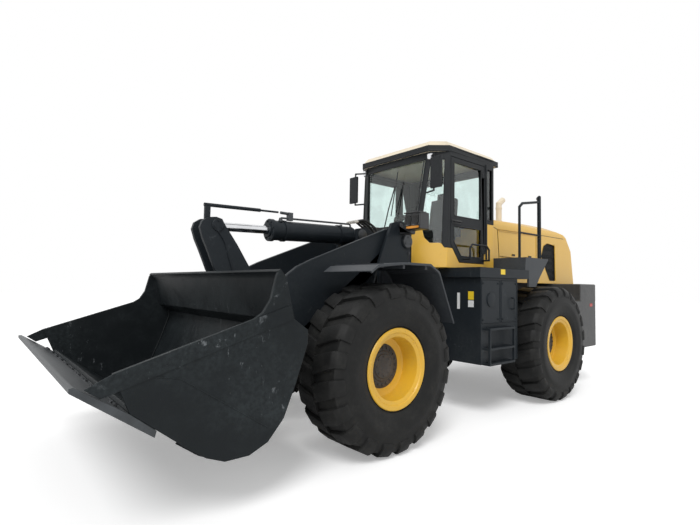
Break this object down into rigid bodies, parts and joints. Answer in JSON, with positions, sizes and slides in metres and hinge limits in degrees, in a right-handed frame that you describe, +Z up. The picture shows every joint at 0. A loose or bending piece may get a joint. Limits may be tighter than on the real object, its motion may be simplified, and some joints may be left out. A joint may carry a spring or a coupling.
{
  "type": "wheel loader",
  "caption": "Articulated wheel loader with a wide bucket on a bowed boom and centre tilt lever, glazed cab, lugged tyres, long engine hood and rear counterweight.",
  "frame": {"origin": "Centre of the bounding box on the ground, under the bottom of the tyres", "axes": "+X forward towards the bucket, +Y to the operator's left, +Z up"},
  "size_m": [8.15, 2.98, 3.44],
  "materials": {
    "frame_paint": "charcoal paint, satin",
    "body_yellow": "warm yellow paint, gloss",
    "roof_cream": "cream paint",
    "bucket_paint": "black paint, scuffed",
    "weight_paint": "dark grey cast iron, painted",
    "edge_steel": "worn steel",
    "rod_chrome": "hard chrome",
    "tyre_rubber": "black rubber",
    "tinted_glass": "green tinted glass",
    "exhaust_steel": "pale heat-resistant coating",
    "machinery_paint": "painted castings",
    "seat_fabric": "black cloth",
    "trim_plastic": "black plastic",
    "lamp_housing": "lamp housing"
  },
  "bodies": {
    "rear_frame": {"rear_frame": "frame_paint", "rear_axle": "machinery_paint", "counterweight": "weight_paint", "engine_block": "machinery_paint", "transmission": "machinery_paint", "centre_driveshaft": "machinery_paint", "cab_skirt": "body_yellow", "cab_frame": "frame_paint", "cab_glass": "tinted_glass", "cab_roof": "roof_cream", "seat": "seat_fabric", "steering_column": "trim_plastic", "hood": "body_yellow", "side_grilles": "frame_paint", "rear_grille": "frame_paint", "exhaust_stack": "exhaust_steel", "side_box_left": "frame_paint", "side_box_right": "frame_paint", "platform": "frame_paint", "rear_fenders": "frame_paint", "handrails": "frame_paint", "mirrors": "trim_plastic"},
    "front_frame": {"front_frame": "frame_paint", "loader_tower": "frame_paint", "front_axle": "machinery_paint", "front_driveshaft": "machinery_paint", "front_fenders": "frame_paint", "headlights": "lamp_housing"},
    "boom": {"boom": "frame_paint", "bucket_pins": "edge_steel", "lever_pin": "edge_steel"},
    "bucket": {"bucket": "bucket_paint", "cutting_edge": "edge_steel"},
    "tilt_lever": {"tilt_lever": "frame_paint"},
    "bucket_link": {"bucket_link": "frame_paint"},
    "tilt_barrel": {"tilt_barrel": "frame_paint"},
    "tilt_rod": {"tilt_rod": "rod_chrome"},
    "lift_barrels": {"lift_barrels": "frame_paint"},
    "lift_rods": {"lift_rods": "rod_chrome"},
    "cab_door_left": {"cab_door_left": "frame_paint", "door_glass_left": "tinted_glass"},
    "cab_door_right": {"cab_door_right": "frame_paint", "door_glass_right": "tinted_glass"},
    "engine_door_left": {"engine_door_left": "body_yellow"},
    "engine_door_right": {"engine_door_right": "body_yellow"},
    "wheel_front_left": {"tyre_front_left": "tyre_rubber", "wheel_front_left": "body_yellow"},
    "wheel_front_right": {"tyre_front_right": "tyre_rubber", "wheel_front_right": "body_yellow"},
    "wheel_rear_left": {"tyre_rear_left": "tyre_rubber", "wheel_rear_left": "body_yellow"},
    "wheel_rear_right": {"tyre_rear_right": "tyre_rubber", "wheel_rear_right": "body_yellow"},
    "steer_barrel_left": {"steer_barrel_left": "frame_paint"},
    "steer_rod_left": {"steer_rod_left": "rod_chrome"},
    "steer_barrel_right": {"steer_barrel_right": "frame_paint"},
    "steer_rod_right": {"steer_rod_right": "rod_chrome"}
  },
  "joints": [
    {"name": "articulation", "type": "hinge", "parent": "rear_frame", "child": "front_frame", "pos_m": [-0.225, 0, 0.95], "axis": [0, 0, 1], "range_deg": [-35, 35]},
    {"name": "boom_lift", "type": "hinge", "parent": "front_frame", "child": "boom", "pos_m": [0.545, 0, 2.1], "axis": [0, -1, 0], "range_deg": [-4, 82]},
    {"name": "bucket_tilt", "type": "hinge", "parent": "boom", "child": "bucket", "pos_m": [2.625, 0, 0.56], "axis": [0, 1, 0], "range_deg": [-3, 115]},
    {"name": "lever_swing", "type": "hinge", "parent": "boom", "child": "tilt_lever", "pos_m": [2.375, 0, 1.52], "axis": [0, -1, 0], "range_deg": [-2, 48]},
    {"name": "link_swing", "type": "hinge", "parent": "tilt_lever", "child": "bucket_link", "pos_m": [1.925, 0, 0.9], "axis": [0, -1, 0], "range_deg": [-60, 2]},
    {"name": "tilt_cylinder_swing", "type": "hinge", "parent": "front_frame", "child": "tilt_barrel", "pos_m": [0.825, 0, 2.19], "axis": [0, -1, 0], "range_deg": [-5, 98]},
    {"name": "tilt_rod_slide", "type": "slide", "parent": "tilt_barrel", "child": "tilt_rod", "axis": [0.9996, 0, -0.0293], "range_m": [-0.53, 0.02]},
    {"name": "lift_cylinder_swing", "type": "hinge", "parent": "front_frame", "child": "lift_barrels", "pos_m": [0.425, 0, 1.36], "axis": [0, -1, 0], "range_deg": [-4, 64]},
    {"name": "lift_rod_slide", "type": "slide", "parent": "lift_barrels", "child": "lift_rods", "axis": [0.9992, 0, -0.0408], "range_m": [-0.05, 0.79]},
    {"name": "steer_cylinder_swing_left", "type": "hinge", "parent": "rear_frame", "child": "steer_barrel_left", "pos_m": [-0.875, 0.391, 0.8], "axis": [0, 0, 1], "range_deg": [-14, 14]},
    {"name": "steer_rod_slide_left", "type": "slide", "parent": "steer_barrel_left", "child": "steer_rod_left", "axis": [0.9989, -0.0465, 0], "range_m": [-0.22, 0.22]},
    {"name": "steer_cylinder_swing_right", "type": "hinge", "parent": "rear_frame", "child": "steer_barrel_right", "pos_m": [-0.875, -0.391, 0.8], "axis": [0, 0, 1], "range_deg": [-14, 14]},
    {"name": "steer_rod_slide_right", "type": "slide", "parent": "steer_barrel_right", "child": "steer_rod_right", "axis": [0.9989, 0.0465, 0], "range_m": [-0.22, 0.22]},
    {"name": "spin_front_left", "type": "hinge", "parent": "front_frame", "child": "wheel_front_left", "pos_m": [1.425, 1.1, 0.8], "axis": [0, 1, 0], "continuous": true},
    {"name": "spin_front_right", "type": "hinge", "parent": "front_frame", "child": "wheel_front_right", "pos_m": [1.425, -1.1, 0.8], "axis": [0, 1, 0], "continuous": true},
    {"name": "spin_rear_left", "type": "hinge", "parent": "rear_frame", "child": "wheel_rear_left", "pos_m": [-1.875, 1.1, 0.8], "axis": [0, 1, 0], "continuous": true},
    {"name": "spin_rear_right", "type": "hinge", "parent": "rear_frame", "child": "wheel_rear_right", "pos_m": [-1.875, -1.1, 0.8], "axis": [0, 1, 0], "continuous": true},
    {"name": "door_left_swing", "type": "hinge", "parent": "rear_frame", "child": "cab_door_left", "pos_m": [-0.833, 0.812, 2.5], "axis": [0, 0, 1], "range_deg": [0, 100]},
    {"name": "door_right_swing", "type": "hinge", "parent": "rear_frame", "child": "cab_door_right", "pos_m": [-0.833, -0.812, 2.5], "axis": [0, 0, -1], "range_deg": [0, 100]},
    {"name": "engine_door_left_swing", "type": "hinge", "parent": "rear_frame", "child": "engine_door_left", "pos_m": [-1.461, 0.645, 2.414], "axis": [0.9998, 0, -0.018], "range_deg": [0, 80]},
    {"name": "engine_door_right_swing", "type": "hinge", "parent": "rear_frame", "child": "engine_door_right", "pos_m": [-1.461, -0.645, 2.414], "axis": [-0.9998, 0, 0.018], "range_deg": [0, 80]}
  ],
  "couplings": [
    {"joint": "tilt_cylinder_swing", "follows": "boom_lift", "ratio": 1.15},
    {"joint": "lift_cylinder_swing", "follows": "boom_lift", "ratio": 0.77},
    {"joint": "lift_rod_slide", "follows": "boom_lift", "m_per_rad": 0.546},
    {"joint": "lever_swing", "follows": "bucket_tilt", "ratio": 0.41},
    {"joint": "link_swing", "follows": "bucket_tilt", "ratio": -0.52},
    {"joint": "tilt_rod_slide", "follows": "bucket_tilt", "m_per_rad": -0.26},
    {"joint": "steer_cylinder_swing_left", "follows": "articulation", "ratio": 0.385},
    {"joint": "steer_cylinder_swing_right", "follows": "articulation", "ratio": 0.385},
    {"joint": "steer_rod_slide_left", "follows": "articulation", "m_per_rad": -0.354},
    {"joint": "steer_rod_slide_right", "follows": "articulation", "m_per_rad": 0.354}
  ]
}
